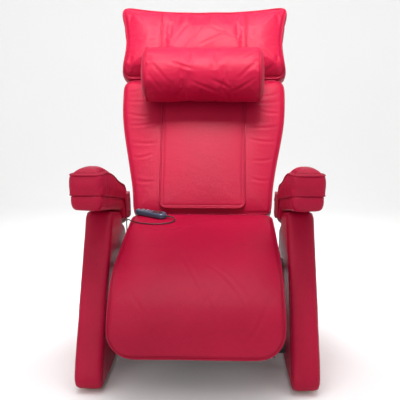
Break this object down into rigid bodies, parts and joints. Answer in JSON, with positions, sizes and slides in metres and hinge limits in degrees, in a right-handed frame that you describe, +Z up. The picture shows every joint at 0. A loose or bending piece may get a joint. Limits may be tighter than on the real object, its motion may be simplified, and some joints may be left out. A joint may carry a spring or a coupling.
{
  "type": "massage chair",
  "caption": "Upholstered massage recliner with padded side panels, sloping arms, one-piece seat and calf rest, roller backrest and neck bolster.",
  "frame": {"origin": "floor level, centred under the chair's bounding box", "axes": "+Z up, the chair faces -Y, +X to the chair's right as seen from its front"},
  "size_m": [0.72, 1.0905, 1.1974],
  "materials": {
    "leather_red": "soft upholstery leather",
    "steel_black": "satin black powder coat",
    "steel_bright": "bright steel",
    "plastic_black": "fine texture",
    "plastic_slate": "satin",
    "display": "gloss",
    "key_silver": "gloss",
    "plastic_ivory": "satin",
    "plywood": "bare plywood",
    "cord_black": "matt"
  },
  "bodies": {
    "base": {"side_panel_left": "leather_red", "side_panel_right": "leather_red", "side_core_left": "plywood", "side_core_right": "plywood", "arm_base_left": "leather_red", "arm_base_right": "leather_red", "arm_pad_left": "leather_red", "arm_pad_right": "leather_red", "back_guide_left": "steel_black", "back_guide_right": "steel_black", "foot_glides": "cord_black", "base_cross_tubes": "steel_black", "pivot_brackets": "steel_black", "actuator_clevis": "steel_black", "control_box": "plastic_black", "power_inlet": "plastic_black"},
    "seat": {"pivot_bushes": "plastic_ivory", "seat_frame": "steel_black", "seat_shell": "plastic_black", "seat_cushion": "leather_red", "cord_gland": "plastic_black", "handset_cord": "cord_black", "handset_lower_case": "plastic_slate", "handset_upper_case": "plastic_slate", "handset_display": "display", "handset_strain_relief": "cord_black"},
    "back": {"back_frame": "steel_black", "back_shell": "plastic_black", "head_shell": "plastic_black", "back_board": "plywood", "back_cushion": "leather_red", "head_board": "plywood", "head_cushion": "leather_red", "shell_screws": "steel_black", "massage_rails": "steel_bright", "screw_motor": "steel_black", "flap_top": "leather_red"},
    "rocker": {"power_switch": "plastic_black"},
    "key_power": {"button_power": "key_silver"},
    "key_up": {"button_up": "key_silver"},
    "key_down": {"button_down": "key_silver"},
    "key_knead": {"button_knead": "key_silver"},
    "key_heat": {"button_heat": "key_silver"},
    "seat_drive": {"seat_actuator": "steel_black"},
    "seat_rod": {"seat_actuator_rod": "steel_bright"},
    "back_drive": {"back_actuator": "steel_black"},
    "back_rod": {"back_actuator_rod": "steel_bright"},
    "screw": {"lead_screw": "steel_bright"},
    "carriage": {"massage_carriage": "plastic_black", "knead_motor": "steel_black", "knead_shaft": "steel_bright"},
    "knead_left": {"knead_arm_left": "steel_bright"},
    "knead_right": {"knead_arm_right": "steel_bright"},
    "roller_upper_left": {"roller_upper_left": "plastic_ivory"},
    "roller_lower_left": {"roller_lower_left": "plastic_ivory"},
    "roller_upper_right": {"roller_upper_right": "plastic_ivory"},
    "roller_lower_right": {"roller_lower_right": "plastic_ivory"},
    "flap": {"massage_flap": "leather_red"},
    "bolster": {"neck_bolster": "leather_red"}
  },
  "joints": [
    {"name": "seat_tilt", "type": "hinge", "parent": "base", "child": "seat", "pos_m": [0, -0.07919, 0.3], "axis": [-1, 0, 0], "range_deg": [0, 25]},
    {"name": "back_recline", "type": "hinge", "parent": "seat", "child": "back", "pos_m": [0, 0.19539, 0.38395], "axis": [-1, 0, 0], "range_deg": [0, 20]},
    {"name": "seat_actuator_swing", "type": "hinge", "parent": "base", "child": "seat_drive", "pos_m": [-0.07, 0.08081, 0.118], "axis": [-1, 0, 0], "range_deg": [0, 11.56]},
    {"name": "seat_rod_extension", "type": "slide", "parent": "seat_drive", "child": "seat_rod", "axis": [0, -0.9319, 0.3627], "range_m": [0, 0.03896]},
    {"name": "back_actuator_swing", "type": "hinge", "parent": "seat", "child": "back_drive", "pos_m": [0.07, -0.19919, 0.24], "axis": [-1, 0, 0], "range_deg": [-4.44, 0]},
    {"name": "back_rod_extension", "type": "slide", "parent": "back_drive", "child": "back_rod", "axis": [0, 0.9924, 0.1233], "range_m": [-0.02783, 0]},
    {"name": "carriage_travel", "type": "slide", "parent": "back", "child": "carriage", "axis": [0, 0.4067, 0.9135], "range_m": [0, 0.245]},
    {"name": "lead_screw_spin", "type": "hinge", "parent": "back", "child": "screw", "pos_m": [0, 0.34125, 0.62551], "axis": [0, 0.4067, 0.9135], "range_deg": [0, 4410.1]},
    {"name": "knead_right_rock", "type": "hinge", "parent": "carriage", "child": "knead_right", "pos_m": [0.055, 0.25165, 0.54719], "axis": [-1, 0, 0], "range_deg": [-8, 8]},
    {"name": "knead_left_rock", "type": "hinge", "parent": "carriage", "child": "knead_left", "pos_m": [-0.055, 0.25165, 0.54719], "axis": [-1, 0, 0], "range_deg": [-8, 8]},
    {"name": "roller_upper_right_spin", "type": "hinge", "parent": "knead_right", "child": "roller_upper_right", "pos_m": [0.074, 0.23158, 0.60538], "axis": [1, 0, 0], "continuous": true},
    {"name": "roller_lower_right_spin", "type": "hinge", "parent": "knead_right", "child": "roller_lower_right", "pos_m": [0.074, 0.19498, 0.52316], "axis": [1, 0, 0], "continuous": true},
    {"name": "roller_upper_left_spin", "type": "hinge", "parent": "knead_left", "child": "roller_upper_left", "pos_m": [-0.074, 0.23158, 0.60538], "axis": [1, 0, 0], "continuous": true},
    {"name": "roller_lower_left_spin", "type": "hinge", "parent": "knead_left", "child": "roller_lower_left", "pos_m": [-0.074, 0.19498, 0.52316], "axis": [1, 0, 0], "continuous": true},
    {"name": "flap_lift", "type": "hinge", "parent": "back", "child": "flap", "pos_m": [0, 0.26257, 0.79863], "axis": [-1, 0, 0], "range_deg": [0, 30]},
    {"name": "bolster_slide", "type": "slide", "parent": "back", "child": "bolster", "axis": [0, -0.4067, -0.9135], "range_m": [0, 0.06]},
    {"name": "power_rocker", "type": "hinge", "parent": "base", "child": "rocker", "pos_m": [0.095, 0.17281, 0.08], "axis": [1, 0, 0], "range_deg": [-8, 8]},
    {"name": "button_power_press", "type": "slide", "parent": "seat", "child": "key_power", "axis": [0, 0.1805, -0.9836], "range_m": [0, 0.001], "stiffness_N_per_m": 300},
    {"name": "button_up_press", "type": "slide", "parent": "seat", "child": "key_up", "axis": [0, 0.1805, -0.9836], "range_m": [0, 0.001], "stiffness_N_per_m": 300},
    {"name": "button_down_press", "type": "slide", "parent": "seat", "child": "key_down", "axis": [0, 0.1805, -0.9836], "range_m": [0, 0.001], "stiffness_N_per_m": 300},
    {"name": "button_knead_press", "type": "slide", "parent": "seat", "child": "key_knead", "axis": [0, 0.1805, -0.9836], "range_m": [0, 0.001], "stiffness_N_per_m": 300},
    {"name": "button_heat_press", "type": "slide", "parent": "seat", "child": "key_heat", "axis": [0, 0.1805, -0.9836], "range_m": [0, 0.001], "stiffness_N_per_m": 300}
  ],
  "couplings": [
    {"joint": "seat_actuator_swing", "follows": "seat_tilt", "ratio": 0.46223},
    {"joint": "seat_rod_extension", "follows": "seat_tilt", "m_per_rad": 0.089261},
    {"joint": "back_actuator_swing", "follows": "back_recline", "ratio": -0.22171},
    {"joint": "back_rod_extension", "follows": "back_recline", "m_per_rad": -0.07971},
    {"joint": "lead_screw_spin", "follows": "carriage_travel", "rad_per_m": 314.16},
    {"joint": "knead_left_rock", "follows": "knead_right_rock", "ratio": -1}
  ]
}
